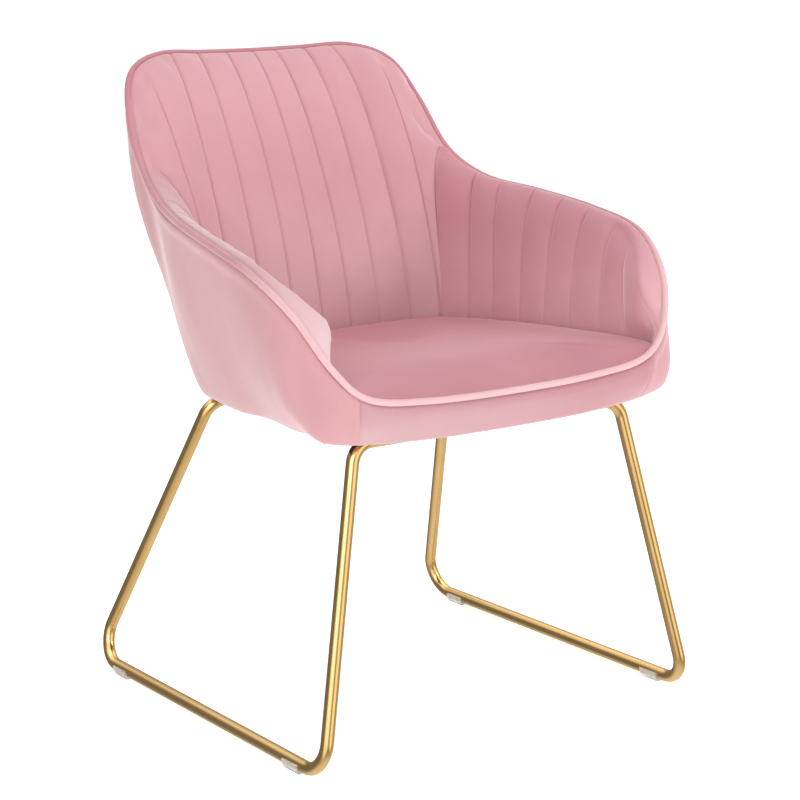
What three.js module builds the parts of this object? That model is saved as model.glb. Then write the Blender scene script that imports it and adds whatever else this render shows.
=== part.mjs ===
// Upholstered tub armchair on a bent-tube sled base.
// Millimetres, +Z up, floor at z = 0, the chair's front faces -Y, "left" is +X (the sitter's left).
import * as THREE from "three";

// ---------------------------------------------------------------- driving dimensions

// Stations round one half of the tub, from the front centre, up the arm and over the back.
// rim: the welted top edge; base: the lower edge; belly: how far the side swells out
// between them at mid height, low down and high up.
const STATIONS = [
  { rim: [0, -297, 433.5], base: [0, -294, 388], belly: [3, 0, 0] },       // front centre
  { rim: [120, -297, 436.5], base: [120, -287, 388], belly: [3, 0, 0] },
  { rim: [204, -295.5, 448.5], base: [212, -275.5, 392.5], belly: [6, 2, 0] }, // front corner
  { rim: [244.7, -284, 486], base: [255, -268.9, 401.4], belly: [2.2, 6.8, 0] },
  { rim: [272.1, -249, 545], base: [245, -223.3, 401.7], belly: [12.5, 13.9, 0] },
  { rim: [289, -185, 589], base: [239.8, -182, 398.5], belly: [9.6, 9.8, 0] }, // arm crest
  { rim: [287, -95, 611], base: [229, -102, 398.7], belly: [8, 6, 0] },
  { rim: [274, 5, 627], base: [225, -32, 395], belly: [8, 6, 0] },
  { rim: [252, 98, 642], base: [220, 34, 397], belly: [8.4, 2.8, 4] },
  { rim: [238, 169, 678], base: [205.6, 100, 397.5], belly: [5.3, 3.4, -1.1] }, // shoulder
  { rim: [228, 222, 744], base: [161.7, 140.3, 397], belly: [12.6, -3.4, 15.5] },
  { rim: [204, 259, 800], base: [125, 152, 396.5], belly: [18.5, 2.9, 8.9] }, // top corner
  { rim: [150, 283, 822], base: [85, 157, 396.5], belly: [8, 0, 0] },
  { rim: [75, 294, 821], base: [40, 160, 396.5], belly: [8, 0, 0] },
  { rim: [0, 297, 820], base: [0, 161, 396.5], belly: [8, 0, 0] },           // back top centre
];
// Where the seat meets the inside of the tub, each point with the station it belongs to.
const SEAT_JOINT = [
  { station: 2.45, at: [222, -291, 463] },
  { station: 3.3, at: [240, -262, 460] },
  { station: 4, at: [244, -232, 459] },
  { station: 5, at: [242, -187, 459] },
  { station: 6, at: [231, -107, 459] },
  { station: 7, at: [216, -20, 458] },
  { station: 8, at: [199, 43, 456] },
  { station: 9, at: [174, 93, 453] },
  { station: 10.5, at: [168, 103, 452] },
  { station: 12, at: [120, 123, 452] },
  { station: 14, at: [0, 126, 452] },
];
const LAST = STATIONS.length - 1;
const FRONT_CORNER = 2;       // station of the sewn seam between the apron and an outside arm
const ARM_PAD_START = 2.8;    // station where the arm padding begins
const BACK_CORNER = 9.6;      // station where the arms meet the back
const STATION_GAP = 0.04;     // gap between neighbouring pieces, in stations

const WELT_RADIUS = 4;
const WELT_CLEAR = 5.2;       // covers and pads stop this far from the welt's centre
const WELT_JOINT_GAP = 0.4;   // the cord's two ends meet at the back with this gap
const GAP = 0.3;              // gap between touching pieces

const COVER_THICKNESS = 2.5;  // velvet and its batting
const SHELL_THICKNESS = 9;    // moulded plywood
const SHELL_BELOW_RIM = 28;   // top edge of the plywood, below the rim
const APRON_RAIL = { top: 0.42, bottom: 0.8 }; // edges of the front rail, as shares of the apron's depth

const BOARD_BOTTOM = 398.3;
const BOARD_THICKNESS = 11;
const BOARD_INSET = 14;       // board edge, inside the tub's lower edge
const TUCK_DEPTH = 18;        // velvet turned under the board
const UNDERSIDE = 397;        // face under the seat, recessed behind the rolled lower edge
const LIP_INSET = 4.2;        // lowest line of the rolled edge
const LIP_THICKNESS = 2.2;
const SHOULDER_INSET = 10.2;  // where the rolled edge meets the underside
const UNDER_CLOTH = 1;        // thickness of the turned-under velvet and of the dust cover
const PAD_BOTTOM = 411;
// How the padding rolls over the rim: reach and rise of the roll's guide points, most near
// the front of the arms; it is full where the wall stands at least fullHeight above the seat.
const CROWN = {
  armWidth: 32, armRise: 31, backWidth: 52, backRise: 7, fullHeight: 100,
  frontExtra: 50, frontStation: 3.4, frontSpread: 1.4,
};
const SEAT_CROWN = 13;        // how far the seat swells above its edge

const TUBE_RADIUS = 8;
const TUBE_WALL = 1.2;
const GLIDE_HEIGHT = 1.8;     // plastic under the tube
const FLOOR_BEND = 36;        // centreline bend radius at the floor
const SEAT_BEND = 28;         // centreline bend radius under the seat
const RUNNER_X = 276;
const RUNNER_FRONT_Y = -288.8;
const RUNNER_REAR_Y = 297.5;
const FRONT_LEG_TOP = [197.3, -250.7];
const REAR_LEG_TOP = [188.5, 107.2];
const ARM_END_X = 100;        // inner end of the tube's arms under the seat
const TAB_TOP = UNDERSIDE - 0.4;
const ARM_Z = { front: TAB_TOP - TUBE_RADIUS, rear: 383.1 };
const GLIDE_LENGTH = 32;
const GLIDE_Y = { front: -225, rear: 217 };
const GLIDE_WALL = 2;

const TAB_LENGTH = 24;
const TAB_X = { inner: 112, outer: 160 };
// Edges and hole of the tabs from the tube's axis: beside the front tube, on top of the rear one.
const TABS = {
  front: { near: 6.8, far: 26.8, hole: 16.8, thickness: 3 },
  rear: { near: -2, far: 26, hole: 16.5, thickness: 5.4 },
};
const BOLT_RADIUS = 3;
const BOLT_HEAD = { radius: 5.6, height: 4 };
const WASHER = { inner: 3.3, outer: 6.25, thickness: 1.2 };
const NUT = { bore: 3.15, barrel: 4, flange: 9, flangeThickness: 1, length: 11.3 };

// ---------------------------------------------------------------- materials

const velvet = new THREE.MeshStandardMaterial({ color: 0xdca4ad, roughness: 0.85, metalness: 0 });
const weltVelvet = new THREE.MeshStandardMaterial({ color: 0xe6b6ba, roughness: 0.8, metalness: 0 });
const gold = new THREE.MeshStandardMaterial({ color: 0xc8963f, roughness: 0.3, metalness: 1 });
const plywood = new THREE.MeshStandardMaterial({ color: 0xcfae7d, roughness: 0.7, metalness: 0 });
const zinc = new THREE.MeshStandardMaterial({ color: 0xb4b8bb, roughness: 0.4, metalness: 1 });
const blackCloth = new THREE.MeshStandardMaterial({ color: 0x1d1d1f, roughness: 0.95, metalness: 0 });
const clearPlastic = new THREE.MeshStandardMaterial({ color: 0xe9ecec, roughness: 0.2, metalness: 0 });

// ---------------------------------------------------------------- curves and surfaces of the tub

const vec = (p) => new THREE.Vector3(p[0], p[1], p[2]);
const mirrored = (p) => [-p[0], p[1], p[2]];

// Catmull-Rom value at t, where t = 0 is points[1] and the first and last points only guide the ends.
function spline(points, t) {
  const spans = points.length - 3;
  const i = Math.min(Math.max(Math.floor(t), 0), spans - 1);
  const f = Math.min(Math.max(t - i, 0), 1);
  const [a, b, c, d] = points.slice(i, i + 4);
  return b.map((_, k) => 0.5 * (2 * b[k] + (c[k] - a[k]) * f
    + (2 * a[k] - 5 * b[k] + 4 * c[k] - d[k]) * f * f
    + (3 * b[k] - a[k] - 3 * c[k] + d[k]) * f * f * f));
}

function acrossCentre(points) {
  return [mirrored(points[1]), ...points, mirrored(points[points.length - 2])];
}

const RIM_POINTS = acrossCentre(STATIONS.map((s) => s.rim));
const BASE_POINTS = acrossCentre(STATIONS.map((s) => s.base));
const BELLIES = STATIONS.map((s) => s.belly);
const BELLY_POINTS = [BELLIES[1], ...BELLIES, BELLIES[LAST - 1]];
const JOINT_POINTS = [SEAT_JOINT[0].at, ...SEAT_JOINT.map((j) => j.at), mirrored(SEAT_JOINT.at(-2).at)];

const rim = (u) => vec(spline(RIM_POINTS, u));
const base = (u) => vec(spline(BASE_POINTS, u));

function seatJoint(u) {
  const after = SEAT_JOINT.findIndex((j) => j.station >= u);
  if (after <= 0) return vec(after === 0 ? SEAT_JOINT[0].at : SEAT_JOINT.at(-1).at);
  const [low, high] = [SEAT_JOINT[after - 1].station, SEAT_JOINT[after].station];
  return vec(spline(JOINT_POINTS, after - 1 + (u - low) / (high - low)));
}

// Horizontal direction pointing out of the tub.
function outward(u) {
  const step = 0.02;
  const middle = (t) => rim(t).add(base(t)).multiplyScalar(0.5);
  const along = middle(Math.min(u + step, LAST)).sub(middle(Math.max(u - step, 0)));
  return new THREE.Vector3(along.y, -along.x, 0).normalize();
}

// Outside surface: v = 0 on the rim, v = 1 on the lower edge.
function outside(u, v) {
  const [mid, low, high] = spline(BELLY_POINTS, u);
  const w = 1 - v;
  const swell = 4 * v * w * mid + 6.75 * v * v * w * low + 6.75 * v * w * w * high;
  return rim(u).lerp(base(u), v).addScaledVector(outward(u), swell);
}

// The outside surface moved inwards by depth.
function outsideInset(u, v, depth) {
  const step = 0.01;
  const [u0, u1] = [Math.max(u - step, 0), Math.min(u + step, LAST)];
  const [v0, v1] = [Math.max(v - step, 0), Math.min(v + step, 1)];
  const alongU = outside(u1, v).sub(outside(u0, v));
  const alongV = outside(u, v1).sub(outside(u, v0));
  const normal = alongV.cross(alongU).normalize();
  if (normal.dot(outward(u)) < 0) normal.negate();
  return outside(u, v).addScaledVector(normal, -depth);
}

const wallHeight = (u) => rim(u).distanceTo(base(u));

// Distance of a point from the welt's centreline at station u.
function offRim(u, point) {
  const step = 0.02;
  const along = rim(Math.min(u + step, LAST)).sub(rim(Math.max(u - step, 0))).normalize();
  return point.clone().sub(rim(u)).cross(along).length();
}
// Share of the wall's height that the welt takes.
const wallStart = (u) => WELT_CLEAR / offRim(u, base(u));

// Inside surface of the padding: v = 0 on the rim, v = 1 where it meets the seat.
// It rolls over the rim, widest near the front of the arms, and leans back on the back.
function inside(u, v) {
  const top = rim(u);
  const foot = seatJoint(u);
  const height = top.z - foot.z;
  const back = THREE.MathUtils.clamp((u - 9) / 3, 0, 1);
  const grown = THREE.MathUtils.clamp(height / CROWN.fullHeight, 0, 1);
  const nearFront = Math.exp(-(((u - CROWN.frontStation) / CROWN.frontSpread) ** 2));
  const mix = (arm, rear) => THREE.MathUtils.lerp(arm, rear, back);
  const out = outward(u);
  const width = mix(CROWN.armWidth + CROWN.frontExtra * nearFront, CROWN.backWidth);
  const overRim = top.clone().addScaledVector(out, -width * grown);
  overRim.z += mix(CROWN.armRise, CROWN.backRise) * grown;
  const aboveFoot = foot.clone().addScaledVector(out, 9 * back);
  aboveFoot.z += height * mix(0.55, 0.4);
  return new THREE.CubicBezierCurve3(top, overRim, aboveFoot, foot).getPoint(v);
}

// ---------------------------------------------------------------- solids

// Closed solid between two facing grids of points: front[i][j] and rear[i][j].
function slab(front, rear) {
  const [rows, columns] = [front.length, front[0].length];
  const positions = [];
  for (const grid of [front, rear]) grid.flat().forEach((p) => positions.push(p.x, p.y, p.z));
  const at = (side, i, j) => side * rows * columns + i * columns + j;
  const index = [];
  const quad = (a, b, c, d) => index.push(a, b, c, a, c, d);
  for (let i = 0; i < rows - 1; i++) {
    for (let j = 0; j < columns - 1; j++) {
      quad(at(0, i, j), at(0, i, j + 1), at(0, i + 1, j + 1), at(0, i + 1, j));
      quad(at(1, i, j), at(1, i + 1, j), at(1, i + 1, j + 1), at(1, i, j + 1));
    }
    quad(at(0, i, 0), at(0, i + 1, 0), at(1, i + 1, 0), at(1, i, 0));
    quad(at(0, i + 1, columns - 1), at(0, i, columns - 1), at(1, i, columns - 1), at(1, i + 1, columns - 1));
  }
  for (let j = 0; j < columns - 1; j++) {
    quad(at(0, 0, j + 1), at(0, 0, j), at(1, 0, j), at(1, 0, j + 1));
    quad(at(0, rows - 1, j + 1), at(1, rows - 1, j + 1), at(1, rows - 1, j), at(0, rows - 1, j));
  }
  return facingOut(positions, index);
}

// Turns the triangles round if they enclose a negative volume.
function facingOut(positions, index) {
  const corner = (k) => new THREE.Vector3().fromArray(positions, 3 * index[k]);
  let volume = 0;
  for (let k = 0; k < index.length; k += 3) volume += corner(k).dot(corner(k + 1).cross(corner(k + 2)));
  if (volume < 0) {
    for (let k = 0; k < index.length; k += 3) [index[k], index[k + 1]] = [index[k + 1], index[k]];
  }
  const geometry = new THREE.BufferGeometry();
  geometry.setAttribute("position", new THREE.Float32BufferAttribute(positions, 3));
  geometry.setIndex(index);
  geometry.computeVertexNormals();
  return geometry;
}

const stepsBetween = (from, to, count) => Array.from({ length: count + 1 },
  (_, i) => THREE.MathUtils.lerp(from, to, i / count));

// Stations of the pieces round one half; neighbouring pieces share them, so their gaps stay even.
const APRON_STATIONS = [0, 0.5, 1, 1.35, 1.7, FRONT_CORNER - STATION_GAP];
const CORNER_STATIONS = [FRONT_CORNER + STATION_GAP, 2.3, 2.6];
const ARM_STATIONS = [
  ...[ARM_PAD_START, 3, 3.25, 3.6],
  ...stepsBetween(4, BACK_CORNER - STATION_GAP, 11),
];
const BACK_STATIONS = stepsBetween(BACK_CORNER + STATION_GAP, LAST, 9);
const ALL_STATIONS = [...APRON_STATIONS, ...CORNER_STATIONS, ...ARM_STATIONS, ...BACK_STATIONS];

// A run of stations as [u, side] pairs; runs over the centre change side half way.
const oneSide = (stations, side) => stations.map((u) => [u, side]);
function overCentre(towardsCentre) {
  const half = towardsCentre.map((u) => [u, 1]);
  const otherHalf = half.slice(0, -1).reverse().map(([u]) => [u, -1]);
  return [...half, ...otherHalf];
}

function wallSlab(run, frontLine, rearLine) {
  const place = (line) => run.map(([u, side]) => line(u).map((p) => new THREE.Vector3(side * p.x, p.y, p.z)));
  return slab(place(frontLine), place(rearLine));
}

// Rows of the wall, shared by cover, shell and padding: from the shell's top edge down.
const SHELL_BOTTOM = 0.97;
const shellTop = (u) => SHELL_BELOW_RIM / wallHeight(u);
const wallRows = (u) => stepsBetween(shellTop(u), SHELL_BOTTOM, 5);
const railRows = () => stepsBetween(APRON_RAIL.top, APRON_RAIL.bottom, 2);
const apronRows = () => [...railRows(), SHELL_BOTTOM];

// Velvet cover: down the outside, rolled round the lower edge and turned under the board.
function coverLine(u, inner, rows) {
  const depth = inner ? COVER_THICKNESS : 0;
  const down = [wallStart(u), ...rows(u)].map((v) => outsideInset(u, v, depth));
  const edge = base(u);
  const out = outward(u);
  const under = (inset, z) => new THREE.Vector3(edge.x - out.x * inset, edge.y - out.y * inset, z);
  const lean = THREE.MathUtils.clamp((edge.z - UNDERSIDE) * 0.35, -LIP_THICKNESS, LIP_THICKNESS);
  const [lip, shoulder, z] = inner
    ? [edge.z - 0.3 + LIP_THICKNESS, SHOULDER_INSET + lean, UNDERSIDE + UNDER_CLOTH]
    : [edge.z - 0.3, SHOULDER_INSET, UNDERSIDE];
  return [...down, under(LIP_INSET, lip), under(shoulder, z), under(TUCK_DEPTH, z)];
}
const coverGeometry = (run, rows) => wallSlab(run,
  (u) => coverLine(u, false, rows),
  (u) => coverLine(u, true, rows));

// Moulded plywood behind the cover, from below the rim to the seat board.
const SHELL_OUT = COVER_THICKNESS + GAP;
const SHELL_IN = SHELL_OUT + SHELL_THICKNESS;
function shellGeometry(run, rows) {
  const line = (depth) => (u) => rows(u).map((v) => outsideInset(u, v, depth));
  return wallSlab(run, line(SHELL_OUT), line(SHELL_IN));
}

// Foot of the padding on the board: under the seat joint, but never thinner than PAD_MIN.
const PAD_BEHIND = SHELL_IN + 2 * GAP;
const PAD_MIN = 6;
const LEDGE_GAP = 1;
function padFoot(u) {
  const out = outward(u);
  const behind = behindFace(u, wallRows(u)).at(-1);
  const thickness = behind.clone().sub(seatJoint(u)).dot(out);
  return behind.addScaledVector(out, -Math.max(thickness, PAD_MIN));
}

// Back of the padding: under the welt, down behind the cover and, past its top edge, behind the shell.
function behindFace(u, shellRows) {
  const down = outward(u).negate().setZ(-1).normalize();
  const underWelt = rim(u).addScaledVector(down, WELT_CLEAR / offRim(u, rim(u).add(down)));
  const ledge = shellRows[0] - LEDGE_GAP / wallHeight(u);
  const behindCover = [wallStart(u), ledge].map((v) => outsideInset(u, v, SHELL_OUT));
  const behindShell = [ledge, ...shellRows.slice(1)].map((v) => outsideInset(u, v, PAD_BEHIND));
  const [above, last] = behindShell.slice(-2);
  last.addScaledVector(last.clone().sub(above), (PAD_BOTTOM - last.z) / (last.z - above.z));
  return [underWelt, ...behindCover, ...behindShell];
}

// Padding of the arms and the back: rolls over the rim and runs down behind the seat.
const padRear = (u) => behindFace(u, wallRows(u));
function padFront(u) {
  let start = 0;
  while (offRim(u, inside(u, start)) < WELT_CLEAR) start += 0.01;
  const face = stepsBetween(start, 1, 7).map((v) => inside(u, v));
  return [...face, padFoot(u)];
}
const padGeometry = (run) => wallSlab(run, padFront, padRear);

// Side of the seat padding, from the board up: behind the apron in front, beside the pads elsewhere.
function seatRows(u) {
  const top = u < FRONT_CORNER ? APRON_RAIL.top : shellTop(u);
  return stepsBetween(top, (rim(u).z - PAD_BOTTOM + 2) / (rim(u).z - base(u).z), 2);
}
const SEAT_SIDE_GAP = { top: 1, foot: 6 };
function seatSideBehindApron(u) {
  const top = rim(u).addScaledVector(outward(u), -WELT_CLEAR * 1.1);
  top.z += 2;
  return [...behindFace(u, seatRows(u)).reverse(), top];
}
function seatSideBesidePads(u) {
  const out = outward(u);
  const foot = padFoot(u).addScaledVector(out, -SEAT_SIDE_GAP.foot);
  const top = seatJoint(u).addScaledVector(out, -SEAT_SIDE_GAP.top);
  top.z -= 1;
  const rows = behindFace(u, seatRows(u)).length;
  return stepsBetween(0, 1, rows).map((share) => foot.clone().lerp(top, share));
}

// Seat padding: a crowned block inside the tub, standing on the board.
function seatGeometry() {
  const beforePads = ARM_PAD_START - 2 * STATION_GAP;
  const half = [
    ...[...APRON_STATIONS, ...CORNER_STATIONS].map(seatSideBehindApron),
    ...[beforePads, ...ARM_STATIONS, ...BACK_STATIONS].map(seatSideBesidePads),
  ];
  const otherHalf = half.slice(1, -1).reverse().map((side) => side.map((p) => new THREE.Vector3(-p.x, p.y, p.z)));
  const loop = [...half, ...otherHalf];
  const centre = new THREE.Vector3(0, -85, 455);
  const crown = (edge) => [[0.1, 0.45], [0.35, 0.8], [0.7, 0.97]].map(([share, swell]) => {
    const p = edge.clone().lerp(centre, share);
    return p.setZ(p.z + SEAT_CROWN * swell);
  });
  const lines = loop.map((side) => [...side, ...crown(side.at(-1))]);
  const [count, rows] = [lines.length, lines[0].length];
  const positions = lines.flat().flatMap((p) => [p.x, p.y, p.z]);
  const [floorCentre, topCentre] = [count * rows, count * rows + 1];
  positions.push(centre.x, centre.y, PAD_BOTTOM, centre.x, centre.y, centre.z + SEAT_CROWN);
  const index = [];
  for (let k = 0; k < count; k++) {
    const [here, next] = [k * rows, ((k + 1) % count) * rows];
    for (let r = 0; r < rows - 1; r++) {
      index.push(here + r, next + r, next + r + 1, here + r, next + r + 1, here + r + 1);
    }
    index.push(here + rows - 1, next + rows - 1, topCentre, next, here, floorCentre);
  }
  return facingOut(positions, index);
}

// Regular polygon round (x, y).
const polygon = (radius, sides, x = 0, y = 0) => Array.from({ length: sides }, (_, k) => {
  const angle = 2 * Math.PI * k / sides;
  return new THREE.Vector2(x + radius * Math.cos(angle), y + radius * Math.sin(angle));
});

// Flat sheets that follow the tub's lower edge, with holes for the bolts. Where the edge turns
// more tightly than the inset, the points that would fold back are left out.
function underSheet(inset, thickness, z, holeRadius) {
  const lowerEdge = ALL_STATIONS.map((u) => base(u).setZ(0));
  const edge = ALL_STATIONS
    .map((u) => base(u).setZ(0).addScaledVector(outward(u), -inset))
    .filter((p) => lowerEdge.every((q) => p.distanceTo(q) > inset - GAP));
  const otherEdge = edge.slice(1, -1).reverse().map((p) => new THREE.Vector3(-p.x, p.y, p.z));
  const shape = new THREE.Shape([...edge, ...otherEdge].map((p) => new THREE.Vector2(p.x, p.y)));
  for (const { x, y } of BOLTS) shape.holes.push(new THREE.Path(polygon(holeRadius, 8, x, y)));
  return new THREE.ExtrudeGeometry(shape, { depth: thickness, bevelEnabled: false }).translate(0, 0, z);
}

// ---------------------------------------------------------------- sled base

// A path through given stops, each a point and the direction there.
class StopPath extends THREE.Curve {
  constructor(stops) {
    super();
    this.stops = stops;
  }
  get steps() { return this.stops.length - 1; }
  stop(t) { return this.stops[Math.round(t * this.steps)]; }
  getUtoTmapping(u) { return u; }
  getPoint(t) { return this.stop(t).at.clone(); }
  getTangent(t) { return this.stop(t).along.clone(); }
}

// Straight runs joined by arcs; each arc gets its own steps, each straight just one.
function bentPath(corners, radii, arcSteps) {
  const stops = [{ at: corners[0], along: corners[1].clone().sub(corners[0]).normalize() }];
  for (let i = 1; i < corners.length - 1; i++) {
    const into = corners[i].clone().sub(corners[i - 1]).normalize();
    const outOf = corners[i + 1].clone().sub(corners[i]).normalize();
    const turn = into.angleTo(outOf);
    const radius = radii[i - 1];
    const start = corners[i].clone().addScaledVector(into, -radius * Math.tan(turn / 2));
    const inner = outOf.clone().addScaledVector(into, -into.dot(outOf)).normalize();
    for (let k = 0; k <= arcSteps; k++) {
      const angle = turn * k / arcSteps;
      const at = start.clone().addScaledVector(into, radius * Math.sin(angle));
      at.addScaledVector(inner, radius * (1 - Math.cos(angle)));
      const along = into.clone().multiplyScalar(Math.cos(angle)).addScaledVector(inner, Math.sin(angle));
      stops.push({ at, along });
    }
  }
  const [beforeEnd, end] = corners.slice(-2);
  stops.push({ at: end, along: end.clone().sub(beforeEnd).normalize() });
  return new StopPath(stops);
}

function ringShape(outer, inner, outerSides, innerSides) {
  const shape = new THREE.Shape(polygon(outer, outerSides));
  if (inner > 0) shape.holes.push(new THREE.Path(polygon(inner, innerSides)));
  return shape;
}

function sledGeometry(side) {
  const runnerZ = GLIDE_HEIGHT + TUBE_RADIUS;
  const corners = [
    [ARM_END_X, FRONT_LEG_TOP[1], ARM_Z.front],
    [FRONT_LEG_TOP[0], FRONT_LEG_TOP[1], ARM_Z.front],
    [RUNNER_X, RUNNER_FRONT_Y, runnerZ],
    [RUNNER_X, RUNNER_REAR_Y, runnerZ],
    [REAR_LEG_TOP[0], REAR_LEG_TOP[1], ARM_Z.rear],
    [ARM_END_X, REAR_LEG_TOP[1], ARM_Z.rear],
  ].map(([x, y, z]) => new THREE.Vector3(side * x, y, z));
  const path = bentPath(corners, [SEAT_BEND, FLOOR_BEND, FLOOR_BEND, SEAT_BEND], 6);
  const shape = ringShape(TUBE_RADIUS, TUBE_RADIUS - TUBE_WALL, 12, 8);
  return new THREE.ExtrudeGeometry(shape, { steps: path.steps, extrudePath: path });
}

// Plastic clip that hugs the lower part of the tube and stands flat on the floor.
function glideGeometry() {
  const centreZ = GLIDE_HEIGHT + TUBE_RADIUS;
  const inner = TUBE_RADIUS + GAP;
  const outer = inner + GLIDE_WALL;
  const grip = THREE.MathUtils.degToRad(15);
  const footHalf = 6.5;
  const shape = new THREE.Shape();
  shape.moveTo(-footHalf, 0);
  shape.lineTo(footHalf, 0);
  shape.absarc(0, centreZ, outer, THREE.MathUtils.degToRad(-48), grip, false);
  shape.absarc(0, centreZ, inner, grip, Math.PI - grip, true);
  shape.absarc(0, centreZ, outer, Math.PI - grip, THREE.MathUtils.degToRad(228), false);
  shape.closePath();
  const geometry = new THREE.ExtrudeGeometry(shape, { depth: GLIDE_LENGTH, bevelEnabled: false, curveSegments: 6 });
  return geometry.rotateX(Math.PI / 2).translate(0, GLIDE_LENGTH / 2, 0);
}

// ---------------------------------------------------------------- fasteners

// Every arm of the base has two tabs welded to it, reaching towards the chair's middle.
const TOWARDS_MIDDLE = { front: 1, rear: -1 };
const ARM_Y = { front: FRONT_LEG_TOP[1], rear: REAR_LEG_TOP[1] };
const BOLTS = [];
for (const [sideName, side] of [["left", 1], ["right", -1]]) {
  for (const end of ["front", "rear"]) {
    const y = ARM_Y[end] + TOWARDS_MIDDLE[end] * TABS[end].hole;
    const washerBottom = TAB_TOP - TABS[end].thickness - 0.1 - WASHER.thickness;
    for (const [placeName, x] of Object.entries(TAB_X)) {
      BOLTS.push({ name: `${sideName}_${end}_${placeName}`, end, x: side * x, y, washerBottom });
    }
  }
}

function tabGeometry(end) {
  const { near, far, hole, thickness } = TABS[end];
  const [low, high] = [near - hole, far - hole].map((y) => y * TOWARDS_MIDDLE[end]).sort((a, b) => a - b);
  const half = TAB_LENGTH / 2;
  const shape = new THREE.Shape();
  shape.moveTo(-half, low);
  shape.lineTo(half, low);
  shape.lineTo(half, high);
  shape.lineTo(-half, high);
  shape.closePath();
  shape.holes.push(new THREE.Path(polygon(WASHER.inner, 8)));
  return new THREE.ExtrudeGeometry(shape, { depth: thickness, bevelEnabled: false });
}

// Turned pieces: [radius, z] outlines spun about their own axis.
const turned = (outline, sides) => new THREE.LatheGeometry(
  outline.map(([r, z]) => new THREE.Vector2(r, z)), sides).rotateX(Math.PI / 2);

function boltGeometry() {
  const { radius, height } = BOLT_HEAD;
  const length = 16;
  return turned([
    [0, -height], [radius * 0.72, -height], [radius, -height * 0.45], [radius, 0],
    [BOLT_RADIUS, 0], [BOLT_RADIUS, length - 1], [BOLT_RADIUS - 1, length], [0, length],
  ], 8);
}
function washerGeometry() {
  const { inner, outer, thickness } = WASHER;
  return turned([[inner, 0], [outer, 0], [outer, thickness], [inner, thickness], [inner, 0]], 10);
}
function nutGeometry() {
  const { bore, barrel, flange, flangeThickness, length } = NUT;
  const collar = length - flangeThickness;
  return turned([
    [bore, 0], [barrel, 0], [barrel, collar], [flange, collar], [flange, length], [bore, length], [bore, 0],
  ], 8);
}

// ---------------------------------------------------------------- welt cord

// The cord runs once round the rim; its two ends meet at the top of the back.
function weltGeometry() {
  const left = ALL_STATIONS.slice(0, -1).reverse().map(rim);
  const end = rim(LAST).setX(WELT_JOINT_GAP / 2);
  const right = left.slice(0, -1).reverse().map((p) => new THREE.Vector3(-p.x, p.y, p.z));
  const points = [end, ...left, ...right, new THREE.Vector3(-end.x, end.y, end.z)];
  const stops = points.map((at, k) => {
    const [before, after] = [points[Math.max(k - 1, 0)], points[Math.min(k + 1, points.length - 1)]];
    return { at, along: after.clone().sub(before).normalize() };
  });
  const path = new StopPath(stops);
  return new THREE.ExtrudeGeometry(ringShape(WELT_RADIUS, 0, 8), { steps: path.steps, extrudePath: path });
}

// ---------------------------------------------------------------- assembly

const chair = new THREE.Group();
function add(name, geometry, material, x = 0, y = 0, z = 0) {
  const mesh = new THREE.Mesh(geometry, material);
  mesh.name = name;
  mesh.position.set(x, y, z);
  chair.add(mesh);
}

const sides = [["left", 1], ["right", -1]];
const acrossApron = overCentre([...APRON_STATIONS].reverse());
const acrossBack = overCentre(BACK_STATIONS);

add("seat_board", underSheet(BOARD_INSET, BOARD_THICKNESS, BOARD_BOTTOM, NUT.barrel + GAP), plywood);
add("front_rail", shellGeometry(acrossApron, railRows), plywood);
add("back_shell", shellGeometry(acrossBack, wallRows), plywood);
add("seat_pad", seatGeometry(), velvet);
add("inside_back_pad", padGeometry(acrossBack), velvet);
add("outside_back_cover", coverGeometry(acrossBack, wallRows), velvet);
add("front_apron_cover", coverGeometry(acrossApron, apronRows), velvet);
for (const [name, side] of sides) {
  const alongArm = oneSide(ARM_STATIONS, side);
  add(`arm_shell_${name}`, shellGeometry(alongArm, wallRows), plywood);
  add(`inside_arm_pad_${name}`, padGeometry(alongArm), velvet);
  const alongSide = oneSide([...CORNER_STATIONS, ...ARM_STATIONS], side);
  add(`outside_arm_cover_${name}`, coverGeometry(alongSide, wallRows), velvet);
}
add("welt_cord", weltGeometry(), weltVelvet);
add("dust_cover", underSheet(TUCK_DEPTH + GAP, UNDER_CLOTH, UNDERSIDE, WASHER.inner + GAP), blackCloth);

for (const [name, side] of sides) {
  add(`sled_frame_${name}`, sledGeometry(side), gold);
  for (const [end, y] of Object.entries(GLIDE_Y)) {
    add(`glide_${name}_${end}`, glideGeometry(), clearPlastic, side * RUNNER_X, y, 0);
  }
}
const nutBottom = BOARD_BOTTOM + BOARD_THICKNESS + GAP + NUT.flangeThickness - NUT.length;
for (const { name, end, x, y, washerBottom } of BOLTS) {
  add(`tab_${name}`, tabGeometry(end), gold, x, y, TAB_TOP - TABS[end].thickness);
  add(`washer_${name}`, washerGeometry(), zinc, x, y, washerBottom);
  add(`bolt_${name}`, boltGeometry(), zinc, x, y, washerBottom - 0.1);
  add(`t_nut_${name}`, nutGeometry(), zinc, x, y, nutBottom);
}

export default chair;
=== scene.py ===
import math

import bpy
import numpy as np
from mathutils import Matrix, Vector, noise


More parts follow.
